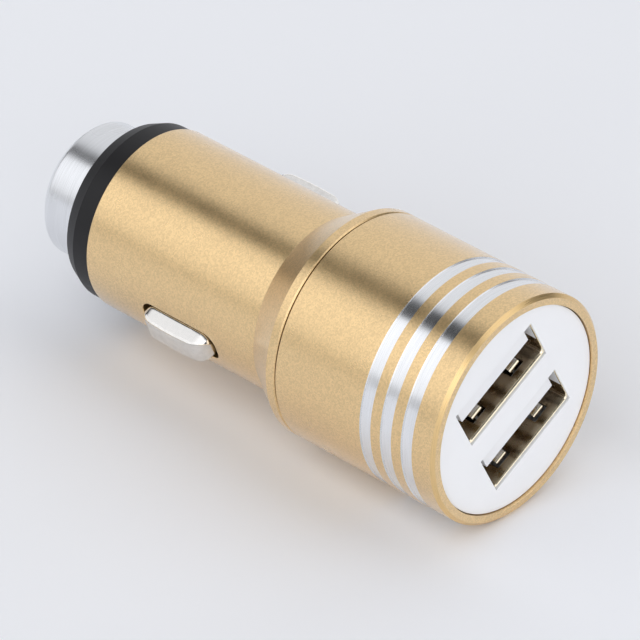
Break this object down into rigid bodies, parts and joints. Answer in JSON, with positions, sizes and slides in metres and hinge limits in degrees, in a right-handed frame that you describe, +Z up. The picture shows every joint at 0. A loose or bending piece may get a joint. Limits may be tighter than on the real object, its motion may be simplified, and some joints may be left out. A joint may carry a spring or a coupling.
{
  "type": "car usb charger plug",
  "caption": "Turned metal car charger plug: barrel with sprung side contacts and hammer nose, banded head, white face with USB ports.",
  "frame": {"origin": "on the plug's axis, where the barrel meets the shoulder and so where a socket's mouth ends", "axes": "+X along the axis from the nose towards the ports, +Z up with the plug lying on its side"},
  "size_m": [0.0628, 0.0256, 0.0256],
  "materials": {
    "gold_anodised": "bead-blasted gold anodised",
    "white_plastic": "smooth white",
    "port_steel": "nickel plated",
    "gold_plate": "gold plated",
    "black_plastic": "matte black",
    "turned_aluminium": "satin turned",
    "bright_contact": "bright nickel",
    "spring_steel": "plain",
    "board": "green laminate",
    "brass": "plain",
    "ferrite": "dark ferrite",
    "ceramic": "fired ceramic"
  },
  "bodies": {
    "root": {"rear_shell": "gold_anodised", "head_sleeve": "gold_anodised", "face_plate": "white_plastic", "usb_tongue_upper": "white_plastic", "usb_tongue_lower": "white_plastic", "usb_shell_upper": "port_steel", "usb_shell_lower": "port_steel", "usb_contacts_upper": "gold_plate", "usb_contacts_lower": "gold_plate", "insulating_ring": "black_plastic", "contact_carrier": "black_plastic", "converter_chip": "black_plastic", "rectifier_diode": "black_plastic", "nose_contact": "turned_aluminium", "input_capacitor": "turned_aluminium", "output_capacitor": "turned_aluminium", "contact_leaf_left": "spring_steel", "contact_leaf_right": "spring_steel", "nose_nut": "spring_steel", "front_board": "board", "main_board": "board", "nose_terminal": "brass", "ground_clip": "brass", "inductor": "ferrite", "ceramic_capacitors": "ceramic"},
    "left_contact": {"side_contact_left": "bright_contact"},
    "right_contact": {"side_contact_right": "bright_contact"}
  },
  "joints": [
    {"name": "left_contact_press", "type": "slide", "parent": "root", "child": "left_contact", "axis": [0, 0.9455, 0.3256], "range_m": [0, 0.0014], "stiffness_N_per_m": 1500, "springref_m": -0.001, "deforming": ["contact_leaf_left"]},
    {"name": "right_contact_press", "type": "slide", "parent": "root", "child": "right_contact", "axis": [0, -0.9455, -0.3256], "range_m": [0, 0.0014], "stiffness_N_per_m": 1500, "springref_m": -0.001, "deforming": ["contact_leaf_right"]}
  ]
}
